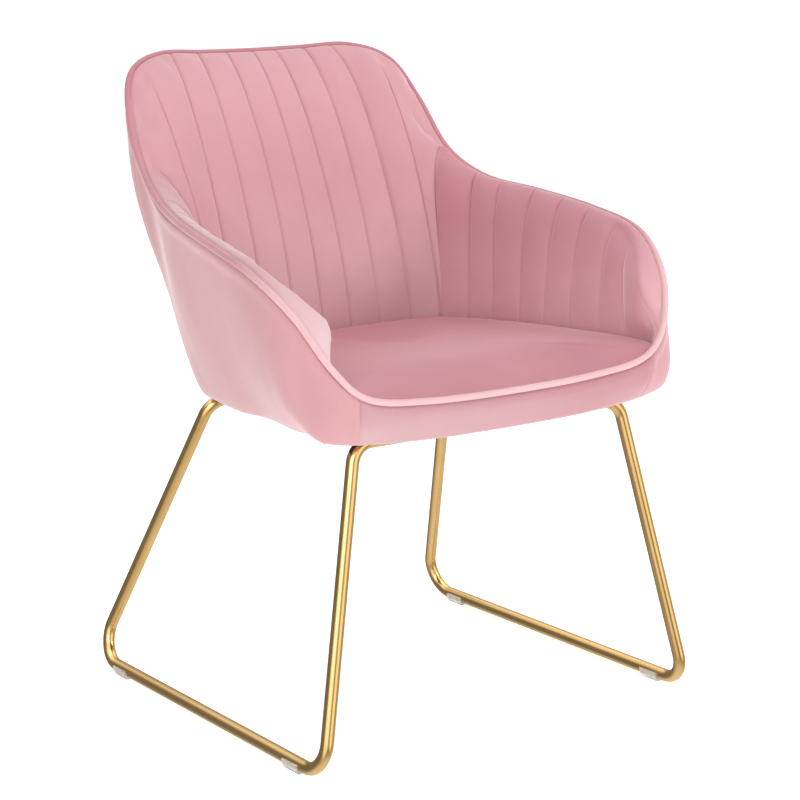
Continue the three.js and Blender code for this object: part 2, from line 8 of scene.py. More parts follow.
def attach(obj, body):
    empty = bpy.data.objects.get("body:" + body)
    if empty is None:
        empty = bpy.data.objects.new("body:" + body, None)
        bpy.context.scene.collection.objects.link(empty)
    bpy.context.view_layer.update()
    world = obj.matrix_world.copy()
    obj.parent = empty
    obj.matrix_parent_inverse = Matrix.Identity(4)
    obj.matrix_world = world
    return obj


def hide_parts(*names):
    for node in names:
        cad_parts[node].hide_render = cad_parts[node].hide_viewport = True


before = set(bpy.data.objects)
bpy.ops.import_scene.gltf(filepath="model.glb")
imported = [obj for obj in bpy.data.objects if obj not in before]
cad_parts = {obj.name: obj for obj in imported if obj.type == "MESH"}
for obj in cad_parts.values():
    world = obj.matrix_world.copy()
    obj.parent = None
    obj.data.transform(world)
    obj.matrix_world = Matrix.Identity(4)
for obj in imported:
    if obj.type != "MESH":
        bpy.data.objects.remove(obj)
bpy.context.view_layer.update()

MM = 0.001

# ------------------------------------------------------------------ shape of the tub (mm)
# Stations round one half, from the front centre up the arm to the back's top centre:
# rim point, lower-edge point, swell between them (middle, low, high).
STATIONS = np.array([
    [0, -297, 433.5, 0, -294, 388, 3, 0, 0],
    [120, -297, 436.5, 120, -287, 388, 3, 0, 0],
    [204, -295.5, 448.5, 212, -275.5, 392.5, 6, 2, 0],
    [244.7, -284, 486, 255, -268.9, 401.4, 2.2, 6.8, 0],
    [272.1, -249, 545, 245, -223.3, 401.7, 12.5, 13.9, 0],
    [289, -185, 589, 239.8, -182, 398.5, 9.6, 9.8, 0],
    [287, -95, 611, 229, -102, 398.7, 8, 6, 0],
    [274, 5, 627, 225, -32, 395, 8, 6, 0],
    [252, 98, 642, 220, 34, 397, 8.4, 2.8, 4],
    [238, 169, 678, 205.6, 100, 397.5, 5.3, 3.4, -1.1],
    [228, 222, 744, 161.7, 140.3, 397, 12.6, -3.4, 15.5],
    [204, 259, 800, 125, 152, 396.5, 18.5, 2.9, 8.9],
    [150, 283, 822, 85, 157, 396.5, 8, 0, 0],
    [75, 294, 821, 40, 160, 396.5, 8, 0, 0],
    [0, 297, 820, 0, 161, 396.5, 8, 0, 0],
])
LAST = len(STATIONS) - 1
# Where the seat meets the inside of the tub: station and point.
JOINT = np.array([
    [2.45, 222, -291, 463], [3.3, 240, -262, 460], [4, 244, -232, 459], [5, 242, -187, 459],
    [6, 231, -107, 459], [7, 216, -20, 458], [8, 199, 43, 456], [9, 174, 93, 453],
    [10.5, 168, 103, 452], [12, 120, 123, 452], [14, 0, 126, 452],
])
MIRROR = np.array([-1.0, 1.0, 1.0])
FRONT_CORNER = 2.0
BACK_CORNER = 9.6
WELT_RADIUS = 4.0
UNDERSIDE = 397.0
BOARD_TOP = 409.3
TUCK_DEPTH = 18.0
# How the padding rolls over the rim: reach and rise of the roll's guide points, most near the
# front of the arms; it is full where the wall stands at least FULL_HEIGHT above the seat.
ARM_ROLL_WIDTH, ARM_ROLL_RISE = 32, 31
BACK_ROLL_WIDTH, BACK_ROLL_RISE = 52, 7
FRONT_ROLL_EXTRA, FRONT_ROLL_STATION, FRONT_ROLL_SPREAD = 50, 3.4, 1.4
FULL_HEIGHT, FULL_HEIGHT_FRONT = 100, 70
# How far down the foot of the padding goes below the seat for each unit of v past 1.
FOOT_DEPTH = 120
# The profile changes from an arm's to the back's over BACK_SPAN stations.
BACK_BEGINS, BACK_SPAN = 9, 3


def with_ends(points):
    return np.vstack([points[1] * MIRROR, points, points[-2] * MIRROR])


RIM = with_ends(STATIONS[:, 0:3])
BASE = with_ends(STATIONS[:, 3:6])
BELLY = np.vstack([STATIONS[1, 6:9], STATIONS[:, 6:9], STATIONS[-2, 6:9]])
JOINT_POINTS = np.vstack([JOINT[0, 1:], JOINT[:, 1:], JOINT[-2, 1:] * MIRROR])


def catmull(points, t):
    spans = len(points) - 3
    i = np.clip(np.floor(t).astype(int), 0, spans - 1)
    f = np.clip(t - i, 0, 1)[..., None]
    a, b, c, d = points[i], points[i + 1], points[i + 2], points[i + 3]
    return 0.5 * (2 * b + (c - a) * f + (2 * a - 5 * b + 4 * c - d) * f**2 + (3 * b - a - 3 * c + d) * f**3)


def rim(u):
    return catmull(RIM, u)


def base(u):
    return catmull(BASE, u)


def joint(u):
    u = np.maximum(u, JOINT[0, 0])
    return catmull(JOINT_POINTS, np.interp(u, JOINT[:, 0], np.arange(len(JOINT))))


def outward(u):
    low, high = np.maximum(u - 0.02, 0), np.minimum(u + 0.02, LAST)
    along = (rim(high) + base(high) - rim(low) - base(low))
    out = np.stack([along[..., 1], -along[..., 0], 0 * along[..., 0]], -1)
    return out / np.linalg.norm(out, axis=-1, keepdims=True)


def outside(u, v):
    belly = catmull(BELLY, u)
    w = 1 - v
    swell = 4 * v * w * belly[..., 0] + 6.75 * v * v * w * belly[..., 1] + 6.75 * v * w * w * belly[..., 2]
    return rim(u) + (base(u) - rim(u)) * v[..., None] + outward(u) * swell[..., None]


def inside(u, v):
    """Inside face: v 0 on the rim, 1 at the seat, and straight down below the seat past 1."""
    top, foot, out = rim(u), joint(u), outward(u)
    height = top[..., 2] - foot[..., 2]
    back = np.clip((u - BACK_BEGINS) / BACK_SPAN, 0, 1)
    near_front = np.exp(-((u - FRONT_ROLL_STATION) / FRONT_ROLL_SPREAD)**2)
    grown = np.clip(height / (FULL_HEIGHT - (FULL_HEIGHT - FULL_HEIGHT_FRONT) * near_front), 0, 1)
    width = (ARM_ROLL_WIDTH + FRONT_ROLL_EXTRA * near_front) * (1 - back) + BACK_ROLL_WIDTH * back
    p1 = top - out * np.minimum(width * grown, 1.2 * np.maximum(height, 0))[..., None]
    p1[..., 2] += (ARM_ROLL_RISE + (BACK_ROLL_RISE - ARM_ROLL_RISE) * back) * grown
    p2 = foot + out * (9 * back)[..., None]
    p2[..., 2] += height * (0.55 - 0.15 * back)
    t = np.clip(v, 0, 1)[..., None]
    p = (1 - t)**3 * top + 3 * t * (1 - t)**2 * p1 + 3 * t * t * (1 - t) * p2 + t**3 * foot
    below = np.maximum(v - 1, 0)
    p[..., 2] -= below * FOOT_DEPTH
    # The hidden foot spreads outwards along the arms and inwards at their front ends.
    spread = 8 * smoothstep(u, 3, 5) - 30 * (1 - smoothstep(u, 2.6, 3.3))
    return p + out * (below * spread)[..., None]


def around(surface, u, *rest):
    """A surface all round the tub: stations past LAST, and negative ones, are on the right half."""
    side = np.where((u > LAST) | (u < 0), -1.0, 1.0)
    p = surface(np.where(u > LAST, 2 * LAST - u, np.abs(u)), *rest)
    p[..., 0] *= side
    return p


def half_station(u):
    return np.where(u > LAST, 2 * LAST - u, np.abs(u))


def smoothstep(x, low, high):
    t = np.clip((x - low) / (high - low), 0, 1)
    return t * t * (3 - 2 * t)


def grid_normals(p, towards):
    """Unit normals of a grid, all on the side that mostly faces a point."""
    du = np.gradient(p, axis=1)
    dv = np.gradient(p, axis=0)
    n = np.cross(du, dv)
    n /= np.linalg.norm(n, axis=-1, keepdims=True) + 1e-9
    return n * np.sign((n * (towards - p)).sum())


def smooth_noise(p, scale, seed):
    """Perlin noise at each point of an array of points in mm."""
    flat = p.reshape(-1, 3) / scale + seed
    return np.array([noise.noise(Vector(q)) for q in flat]).reshape(p.shape[:-1])


# ------------------------------------------------------------------ meshes


def new_object(name, verts_mm, faces, material, sharp_degrees=50):
    mesh = bpy.data.meshes.new(name)
    mesh.from_pydata((np.asarray(verts_mm) * MM).tolist(), [], faces)
    mesh.validate()
    mesh.update()
    obj = bpy.data.objects.new(name, mesh)
    bpy.context.scene.collection.objects.link(obj)
    mesh.materials.append(material)
    mesh.shade_smooth()
    mesh.set_sharp_from_angle(angle=math.radians(sharp_degrees))
    return obj


def oriented(verts, faces):
    """Faces turned to point out of the closed mesh."""
    v = np.asarray(verts)
    volume = 0.0
    for f in faces:
        for k in range(1, len(f) - 1):
            volume += np.dot(v[f[0]], np.cross(v[f[k]], v[f[k + 1]]))
    return [f[::-1] for f in faces] if volume < 0 else faces


def slab_mesh(front, rear, closed=False):
    """Closed solid between two facing grids; closed joins the first and last columns."""
    rows, cols = front.shape[:2]
    verts = np.vstack([front.reshape(-1, 3), rear.reshape(-1, 3)])
    half = rows * cols
    faces = []
    last = cols if closed else cols - 1
    for i in range(rows - 1):
        for j in range(last):
            k = (j + 1) % cols
            a, b, c, d = i * cols + j, i * cols + k, (i + 1) * cols + k, (i + 1) * cols + j
            faces.append((a, b, c, d))
            faces.append((half + d, half + c, half + b, half + a))
    for j in range(last):
        k = (j + 1) % cols
        a, b = j, k
        faces.append((b, a, half + a, half + b))
        a, b = (rows - 1) * cols + j, (rows - 1) * cols + k
        faces.append((a, b, half + b, half + a))
    if not closed:
        for i in range(rows - 1):
            a, b = i * cols, (i + 1) * cols
            faces.append((a, b, half + b, half + a))
            a, b = i * cols + cols - 1, (i + 1) * cols + cols - 1
            faces.append((b, a, half + a, half + b))
    return verts, oriented(verts, faces)


def tube_mesh(points, radius, sides, closed=False, wobble=None):
    """Round tube along points, with a frame carried along the path."""
    p = np.asarray(points, float)
    n = len(p)
    if closed:
        along = np.roll(p, -1, 0) - np.roll(p, 1, 0)
    else:
        along = np.gradient(p, axis=0)
    along /= np.linalg.norm(along, axis=1, keepdims=True)
    side = np.zeros((n, 3))
    side[0] = np.cross(along[0], [0.13, 0.27, 0.95])
    side[0] /= np.linalg.norm(side[0])
    for k in range(1, n):
        s = side[k - 1] - along[k] * np.dot(side[k - 1], along[k])
        side[k] = s / np.linalg.norm(s)
    if closed:
        s = side[-1] - along[0] * np.dot(side[-1], along[0])
        s /= np.linalg.norm(s)
        twist = math.atan2(np.dot(np.cross(s, side[0]), along[0]), np.dot(s, side[0]))
        for k in range(n):
            turn = Matrix.Rotation(twist * k / n, 3, Vector(along[k]))
            side[k] = np.array(turn @ Vector(side[k]))
    other = np.cross(along, side)
    angle = np.linspace(0, 2 * np.pi, sides, endpoint=False)
    r = np.full((n, sides), float(radius))
    if wobble is not None:
        r = r + wobble
    ring = p[:, None] + r[..., None] * (np.cos(angle)[None, :, None] * side[:, None]
                                        + np.sin(angle)[None, :, None] * other[:, None])
    verts = ring.reshape(-1, 3)
    faces = []
    for i in range(n if closed else n - 1):
        h = (i + 1) % n
        for j in range(sides):
            k = (j + 1) % sides
            faces.append((i * sides + j, i * sides + k, h * sides + k, h * sides + j))
    if not closed:
        faces.append(tuple(range(sides))[::-1])
        faces.append(tuple((n - 1) * sides + j for j in range(sides)))
    return verts, oriented(verts, faces)


# ------------------------------------------------------------------ materials


class Nodes:
    """Small helper to write node trees."""

    def __init__(self, name):
        self.material = bpy.data.materials.new(name)
        self.material.use_nodes = True
        self.tree = self.material.node_tree
        self.shader = self.tree.nodes["Principled BSDF"]
        self.coords = self.add("ShaderNodeTexCoord").outputs["Object"]

    def add(self, kind, inputs=None, **props):
        node = self.tree.nodes.new(kind)
        for key, value in props.items():
            setattr(node, key, value)
        for key, value in (inputs or {}).items():
            self.put(node.inputs[key], value)
        return node

    def put(self, socket, value):
        if isinstance(value, bpy.types.NodeSocket):
            self.tree.links.new(value, socket)
        else:
            socket.default_value = value

    def noise(self, scale, detail=2.0, rough=0.5, vector=None):
        node = self.add("ShaderNodeTexNoise", {"Scale": scale, "Detail": detail, "Roughness": rough,
                                               "Vector": vector or self.coords})
        return node.outputs["Fac"]

    def stretch(self, x, y, z):
        return self.add("ShaderNodeMapping", {"Vector": self.coords, "Scale": (x, y, z)}).outputs["Vector"]

    def ramp(self, value, stops):
        node = self.add("ShaderNodeValToRGB", {"Fac": value})
        ramp = node.color_ramp
        while len(ramp.elements) < len(stops):
            ramp.elements.new(0.5)
        for element, (at, colour) in zip(ramp.elements, stops):
            element.position = at
            element.color = (*colour, 1.0)
        return node.outputs["Color"]

    def levels(self, value, low, high, to_low, to_high):
        return self.add("ShaderNodeMapRange", {"Value": value, "From Min": low, "From Max": high,
                                               "To Min": to_low, "To Max": to_high}).outputs["Result"]

    def math(self, operation, a, b):
        return self.add("ShaderNodeMath", {0: a, 1: b}, operation=operation).outputs[0]

    def mix(self, factor, a, b):
        node = self.add("ShaderNodeMix", {"Factor": factor}, data_type="RGBA", blend_type="MIX")
        self.put(node.inputs[6], a)
        self.put(node.inputs[7], b)
        return node.outputs[2]

    def bump(self, height, strength, distance, normal=None):
        inputs = {"Height": height, "Strength": strength, "Distance": distance}
        if normal is not None:
            inputs["Normal"] = normal
        return self.add("ShaderNodeBump", inputs).outputs["Normal"]

    def set(self, **values):
        for key, value in values.items():
            self.put(self.shader.inputs[key.replace("_", " ")], value)
        return self.material


def velvet(name, deep, light, sheen=0.8, light_and_shade_fades=()):
    """Cut-pile velvet between two colours. The fades are painted light and shade, lighter or darker towards
    one end of an axis:
    (axis, where it starts, where it is full, colour there), in metres and as a multiplier."""
    n = Nodes(name)
    brushed = n.noise(7.0, 2.0, 0.45, n.stretch(1.0, 1.0, 0.5))
    patches = n.noise(45.0, 3.0, 0.55)
    pile = n.noise(2600.0, 2.0, 0.7)
    lay = n.math("ADD", n.math("MULTIPLY", brushed, 0.75), n.math("MULTIPLY", patches, 0.25))
    shade = n.ramp(lay, [(0.3, deep), (0.7, light)])
    grain = n.levels(pile, 0.25, 0.75, 0.95, 1.04)
    grey = n.add("ShaderNodeCombineXYZ", {0: grain, 1: grain, 2: grain}).outputs[0]
    colour = n.add("ShaderNodeVectorMath", {0: shade, 1: grey}, operation="MULTIPLY").outputs[0]
    place = n.add("ShaderNodeSeparateXYZ", {0: n.coords})
    # Each fade multiplies the colour towards one end of an axis: painted light or painted shade.
    for axis, start, full, tint in light_and_shade_fades:
        share = n.add("ShaderNodeMapRange", {"Value": place.outputs[axis], "From Min": start,
                                             "From Max": full},
                      interpolation_type="SMOOTHSTEP").outputs["Result"]
        tinted = n.mix(share, (1.0, 1.0, 1.0, 1.0), (*tint, 1.0))
        colour = n.add("ShaderNodeVectorMath", {0: colour, 1: tinted}, operation="MULTIPLY").outputs[0]
    soft = n.bump(patches, 0.06, 0.002)
    fuzz = n.bump(pile, 0.3, 0.00025, soft)
    return n.set(Base_Color=colour, Roughness=n.levels(lay, 0.3, 0.7, 0.86, 0.76), Specular_IOR_Level=0.2,
                 Sheen_Weight=sheen, Sheen_Roughness=0.38, Sheen_Tint=(1.0, 0.86, 0.87, 1.0), Normal=fuzz)


def gold():
    n = Nodes("gold plating")
    brushing = n.noise(900.0, 2.0, 0.6)
    clouds = n.noise(14.0, 2.0, 0.5)
    colour = n.ramp(clouds, [(0.3, (0.60, 0.385, 0.145)), (0.7, (0.66, 0.43, 0.175))])
    return n.set(Base_Color=colour, Metallic=1.0, Roughness=n.levels(brushing, 0.3, 0.7, 0.20, 0.26),
                 Normal=n.bump(brushing, 0.03, 0.0001))


def zinc():
    n = Nodes("zinc plating")
    clouds = n.noise(300.0, 4.0, 0.6)
    colour = n.ramp(clouds, [(0.3, (0.42, 0.44, 0.45)), (0.7, (0.58, 0.59, 0.58))])
    return n.set(Base_Color=colour, Metallic=1.0, Roughness=n.levels(clouds, 0.3, 0.7, 0.32, 0.5),
                 Normal=n.bump(clouds, 0.1, 0.0002))


def plywood():
    n = Nodes("plywood")
    grain = n.noise(30.0, 6.0, 0.65, n.stretch(1.0, 9.0, 9.0))
    return n.set(Base_Color=n.ramp(grain, [(0.3, (0.42, 0.27, 0.13)), (0.7, (0.66, 0.48, 0.28))]),
                 Roughness=n.levels(grain, 0.3, 0.7, 0.6, 0.75), Normal=n.bump(grain, 0.2, 0.0005))


def lining():
    n = Nodes("non-woven lining")
    fibres = n.noise(900.0, 4.0, 0.7)
    dots = n.add("ShaderNodeTexVoronoi", {"Scale": 700.0, "Vector": n.coords}).outputs["Distance"]
    return n.set(Base_Color=n.ramp(fibres, [(0.3, (0.012, 0.012, 0.013)), (0.7, (0.03, 0.03, 0.032))]),
                 Roughness=0.95, Normal=n.bump(n.math("ADD", fibres, dots), 0.5, 0.0004))


def clear_plastic():
    n = Nodes("clear plastic")
    haze = n.noise(160.0, 3.0, 0.5)
    return n.set(Base_Color=n.ramp(haze, [(0.3, (0.86, 0.84, 0.80)), (0.7, (0.95, 0.93, 0.90))]), IOR=1.46,
                 Roughness=n.levels(haze, 0.3, 0.7, 0.12, 0.22), Transmission_Weight=0.7,
                 Normal=n.bump(haze, 0.05, 0.0003))


# Painted light and shade: the velvets below are copies of one cloth whose base colours are set apart to
# match how light falls on each part. Here the inside back is painted lighter and pinker low down, below z
# 0.66 m, against the shade deep in the tub.
VELVET = velvet("velvet", (0.57, 0.287, 0.313), (0.61, 0.322, 0.347), 0.9,
                light_and_shade_fades=[("Z", 0.66, 0.50, (1.12, 1.28, 1.24))])
# Painted light and shade on the arms: a darker base than the back's as painted shade, lighter and pinker low
# down towards the seat, a little darker towards the rear, and much paler on the outer crown of the left (-x)
# arm as a painted highlight.
VELVET_ARM = velvet("velvet arm", (0.52, 0.235, 0.263), (0.56, 0.268, 0.297), 0.9,
                    light_and_shade_fades=[("Z", 0.60, 0.47, (1.20, 1.44, 1.38)), ("Y", 0.05, 0.16, (0.98, 0.95, 0.96)),
                           ("X", -0.18, -0.25, (1.08, 1.42, 1.34))])
# Painted shade on the seat: a darker base, much darker and deeper pink towards the rear where the tub shades
# it, and a little darker at the front edge.
VELVET_SEAT = velvet("velvet seat", (0.515, 0.24, 0.268), (0.555, 0.268, 0.292), 0.38,
                     light_and_shade_fades=[("Y", -0.20, 0.10, (0.75, 0.44, 0.49)), ("Y", -0.17, -0.24, (0.95, 0.88, 0.90))])
# Painted light and shade on the outside covers: a touch redder towards the front and a little darker towards
# the bottom edge.
VELVET_OUTER = velvet("velvet outer", (0.52, 0.275, 0.285), (0.56, 0.31, 0.32),
                      light_and_shade_fades=[("Y", -0.16, -0.27, (1.05, 0.99, 1.02)), ("Z", 0.50, 0.42, (0.95, 0.97, 0.96))])
# Painted shade on the apron: darker and deeper pink at its top just under the welt, and darker towards its
# +x end.
VELVET_APRON = velvet("velvet apron", (0.51, 0.305, 0.32), (0.55, 0.34, 0.355),
                      light_and_shade_fades=[("Z", 0.404, 0.43, (0.92, 0.82, 0.84)), ("X", -0.14, 0.14, (0.93, 0.82, 0.84))])
# Painted light and shade on the welt: its base is lighter than the rest of the velvet as a painted highlight
# on the front welt, and it grows darker from the front towards the back and again high up along the back's
# top, as painted shade.
VELVET_WELT = velvet("velvet welt", (0.68, 0.42, 0.435), (0.72, 0.46, 0.475),
                     light_and_shade_fades=[("Y", -0.25, -0.13, (0.76, 0.56, 0.61)), ("Z", 0.66, 0.80, (0.9, 0.82, 0.85))])
GOLD = gold()
ZINC = zinc()
# By the first word of the CAD piece's name; the tee nuts' names start with t.
CARRIED = {"tab": GOLD, "washer": ZINC, "bolt": ZINC, "t": ZINC, "glide": clear_plastic()}
PLYWOOD = plywood()
LINING = lining()

# ------------------------------------------------------------------ cloth

CLOTH_FRAMES = 20


def inflate(sheet, normals, sewn, cap, pressure=6.0, fullness=0.03, closed=False):
    """Swell a grid of cloth where it isn't sewn down; gives each point's move along its normal."""
    rows, cols = sheet.shape[:2]
    a = np.arange(rows * cols).reshape(rows, cols)
    if closed:
        a = np.concatenate([a, a[:, :1]], 1)
    quads = np.stack([a[:-1, :-1], a[:-1, 1:], a[1:, 1:], a[1:, :-1]], -1).reshape(-1, 4)
    flat = sheet.reshape(-1, 3)
    p, q, r = (flat[quads[:, k]] for k in range(3))
    facing = (np.cross(q - p, r - q) * normals.reshape(-1, 3)[quads[:, 0]]).sum()
    if facing < 0:
        quads = quads[:, ::-1]
    obj = new_object("cloth", flat, quads.tolist(), VELVET)
    group = obj.vertex_groups.new(name="sewn")
    group.add(np.flatnonzero(sewn.reshape(-1)).tolist(), 1.0, "REPLACE")
    cloth = obj.modifiers.new("cloth", "CLOTH")
    settings = cloth.settings
    settings.quality = 5
    settings.mass = 0.3
    settings.tension_stiffness = settings.compression_stiffness = 5.0
    settings.shear_stiffness = 2.0
    settings.bending_stiffness = 0.05
    settings.vertex_group_mass = "sewn"
    settings.use_pressure = True
    settings.uniform_pressure_force = pressure
    settings.shrink_min = -fullness
    settings.effector_weights.gravity = 0.0
    cloth.collision_settings.use_collision = False
    cloth.collision_settings.use_self_collision = False
    cloth.point_cache.frame_start = 1
    cloth.point_cache.frame_end = CLOTH_FRAMES
    scene = bpy.context.scene
    for step in range(1, CLOTH_FRAMES + 1):
        scene.frame_set(step)
    solved = obj.evaluated_get(bpy.context.evaluated_depsgraph_get())
    moved = np.empty(len(flat) * 3)
    solved.data.vertices.foreach_get("co", moved)
    scene.frame_set(1)
    bpy.data.objects.remove(obj)
    move = ((moved.reshape(rows, cols, 3) / MM - sheet) * normals).sum(-1)
    return cap * np.tanh(move / cap)


def smoothed_rows(heights, times):
    """The foam under the cloth evens out wrinkles along a channel."""
    for _ in range(times):
        near = np.pad(heights, ((2, 2), (0, 0)), mode="edge")
        heights = (near[:-4] + 4 * near[1:-3] + 6 * near[2:-2] + 4 * near[3:-1] + near[4:]) / 16
    return heights


# ------------------------------------------------------------------ channel-stitched pads
# Each seam: station on the rim and station at the seat.
BACK_SEAMS = [(14.0, 14.0), (13.45, 13.3), (12.83, 12.56), (12.27, 11.6), (11.4, 10.2)]
# The left half's seams start nearer the middle along the top.
LEFT_BACK_SEAMS = [(14.0, 14.0), (13.54, 13.3), (12.95, 12.56), (12.45, 11.6), (11.68, 10.2)]
GUSSET_SEAM = (8.9, 9.72)
ARM_SEAMS = [(8.03, 8.35), (7.54, 7.7), (6.95, 7.0), (6.42, 6.5), (5.88, 6.0), (5.3, 5.4), (4.8, 4.7)]
ARM_END = (2.47, 2.47)
# The cloth starts SUNK below the padding's face. CHANNEL_CAP limits the simulated swell and FULLER scales
# it.
SUNK = 3.0
CHANNEL_CAP = 8.0
FULLER = 1.5
STITCH_DEPTH, STITCH_WIDTH = 2.2, 1.2
WELT_GROOVE_DEPTH, WELT_GROOVE_AT, WELT_GROOVE_WIDTH = 1.6, 4.8, 1.6
FOOT_ROWS = [1.03, 1.09, 1.18, 1.3]
# A point above the seat, on the side that the padding faces.
EYE_OF_TUB = np.array([0.0, -60.0, 900.0])


def seam_strength(seam, v):
    """0 where the seam isn't stitched, 1 where it is, from the rim (v = 0) to the seat (v = 1)."""
    if seam in (BACK_SEAMS[-1], LEFT_BACK_SEAMS[-1]):
        return np.clip((v - 0.10) / 0.22, 0, 1)
    if seam == GUSSET_SEAM:
        return np.clip((v - 0.12) / 0.45, 0, 1)
    if seam == ARM_END:
        return np.zeros_like(v)
    if seam in ARM_SEAMS:
        # Towards the front the stitching starts further down the roll of the arm.
        begins = 0.03 + 0.34 * float(smoothstep(-seam[0], -6.8, -4.8))
        return np.clip((v - begins) / 0.18, 0, 1)
    return np.clip(0.75 + v * 2, 0, 1)


def channel_steps(count):
    """Steps across a channel, closer together at its seams."""
    t = np.linspace(0, 1, count + 1)
    return 0.5 - 0.5 * np.cos(np.pi * t) * (0.35 * np.abs(np.cos(np.pi * t)) + 0.65)


STEPS_PER_CHANNEL = 16


def wall_columns(seams, shares):
    """Station, place across its channel (0 to 1), and strength of the seams to its left and right,
    for each point of a wall whose columns follow the seams."""
    u_list, t_list, left_list, right_list = [], [], [], []
    t = channel_steps(STEPS_PER_CHANNEL)
    for k, ((rim_a, seat_a, strength_a), (rim_b, seat_b, strength_b)) in enumerate(zip(seams, seams[1:])):
        ua = rim_a + (seat_a - rim_a) * shares
        ub = rim_b + (seat_b - rim_b) * shares
        use = t if k == 0 else t[1:]
        shape = (len(shares), len(use))
        u_list.append(ua[:, None] + (ub - ua)[:, None] * use[None])
        t_list.append(np.broadcast_to(use, shape))
        left_list.append(np.broadcast_to(strength_a(shares)[:, None], shape))
        right_list.append(np.broadcast_to(strength_b(shares)[:, None], shape))
    return [np.concatenate(columns, 1) for columns in (u_list, t_list, left_list, right_list)]


def channel_widths(p, channels):
    """Width of the channel that each point belongs to, at its own height."""
    widths = []
    for k in range(channels):
        first, last = k * STEPS_PER_CHANNEL, (k + 1) * STEPS_PER_CHANNEL
        across = np.linalg.norm(p[:, last] - p[:, first], axis=-1)
        widths.append(np.repeat(across[:, None], STEPS_PER_CHANNEL + (k == 0), 1))
    return np.concatenate(widths, 1)


def padded_wall(name, seams, rows_v, rim_fade, material):
    """seams run along the wall, as (rim station, seat station, strength); rim_fade is the part of
    the wall over which the channels rise from the rim."""
    v_rows = np.concatenate([np.linspace(0, 1, rows_v)**1.15, FOOT_ROWS])
    u, tt, wl, wr = wall_columns(seams, np.clip(v_rows, 0, 1))
    v = np.broadcast_to(v_rows[:, None], u.shape)
    p = around(inside, u, v)
    n = grid_normals(p, EYE_OF_TUB)
    width = channel_widths(p, len(seams) - 1)
    edge = smoothstep(v, 0, rim_fade) * (1 - 0.35 * smoothstep(v, 0.86, 1))
    sheet = p - n * (SUNK * edge)[..., None]
    sewn = ((tt == 0) & (wl > 0.5)) | ((tt == 1) & (wr > 0.5))
    sewn[0] = sewn[:, 0] = sewn[:, -1] = True
    sewn[-len(FOOT_ROWS) - 1:] = True
    swell = edge * FULLER * smoothed_rows(inflate(sheet, n, sewn, CHANNEL_CAP), 8)

    def stitch(x):
        return np.exp(-(x * width / STITCH_WIDTH)**2)

    groove = STITCH_DEPTH * smoothstep(v, 0, 0.03) * (wl * stitch(tt) + wr * stitch(1 - tt))
    from_rim = np.linalg.norm(p - p[:1], axis=-1)
    welt_groove = WELT_GROOVE_DEPTH * np.exp(-((from_rim - WELT_GROOVE_AT) / WELT_GROOVE_WIDTH)**2)
    soft = smooth_noise(p, 70.0, 3.1) + smooth_noise(p, 24.0, 9.7) * 0.3
    swell = swell * smoothstep(half_station(u), ARM_END[0], 3.3)
    front = sheet + n * (swell - groove - welt_groove + edge * soft)[..., None]
    inward = 1.2 + 9.5 * np.clip(v / 0.25, 0, 1) * np.clip((half_station(u) - 2.6) / 1.2, 0, 1)
    # Below the seat the foot is thin, so that it stays inside the outside covers.
    foot = smoothstep(v, 1, 1.15)
    rear = p - n * np.maximum(inward * (1 - 0.8 * foot), SUNK * edge * (1 - foot) + 2.2)[..., None]
    obj = new_object(name, *slab_mesh(front, rear), material)
    return obj


def always(seam):
    """Strength of a seam down the wall; on the right half too, by the left half's seam."""
    return lambda v: seam_strength(seam, v)


def sided(seam, right):
    return tuple(2 * LAST - s if right else s for s in seam)


def make_inside():
    left = [(*s, always(s)) for s in LEFT_BACK_SEAMS + [GUSSET_SEAM]]
    right = [(*sided(s, True), always(s)) for s in BACK_SEAMS + [GUSSET_SEAM]]
    seams = right[::-1] + left[1:]
    back = padded_wall("inside_back", seams, 64, 0.15, VELVET)
    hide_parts("inside_back_pad")
    made = [back]
    for side in ("left", "right"):
        flip = side == "right"
        arm = [(*sided(s, flip), always(s)) for s in [GUSSET_SEAM] + ARM_SEAMS + [ARM_END]]
        piece = padded_wall(f"inside_arm_{side}", arm, 46, 0.34, VELVET_ARM)
        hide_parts(f"inside_arm_pad_{side}")
        made.append(piece)
    return made


# ------------------------------------------------------------------ outside covers


def bezier(t, *points):
    order = len(points) - 1
    return sum(math.comb(order, k) * t**k * (1 - t)**(order - k) * p for k, p in enumerate(points))


def rolled_edge(u, last):
    """Round the lower edge and in under the board, from the end of the outside face."""
    foot, out = base(u), outward(u)

    def under(inset, z):
        p = foot - out * inset
        p[:, 2] = z
        return p

    low = foot[:, 2] - 0.4
    t = np.linspace(0, 1, 9)[1:, None, None]
    round_edge = bezier(t, last, under(0.6, low + 0.6), under(4.5, low))
    tucked = bezier(t, under(4.5, low), under(8.5, low), under(9, UNDERSIDE),
                    under(TUCK_DEPTH, UNDERSIDE + 0.1))
    return np.concatenate([round_edge, tucked])


COVER_THICKNESS = 2.2
# The sewn front corner leans: its stations shift by LEAN_TOP at the rim, less LEAN_FALL on the way down.
CORNER_REACH, LEAN_TOP, LEAN_FALL = 0.6, 0.25, 0.32
MM_PER_STATION = 60.0


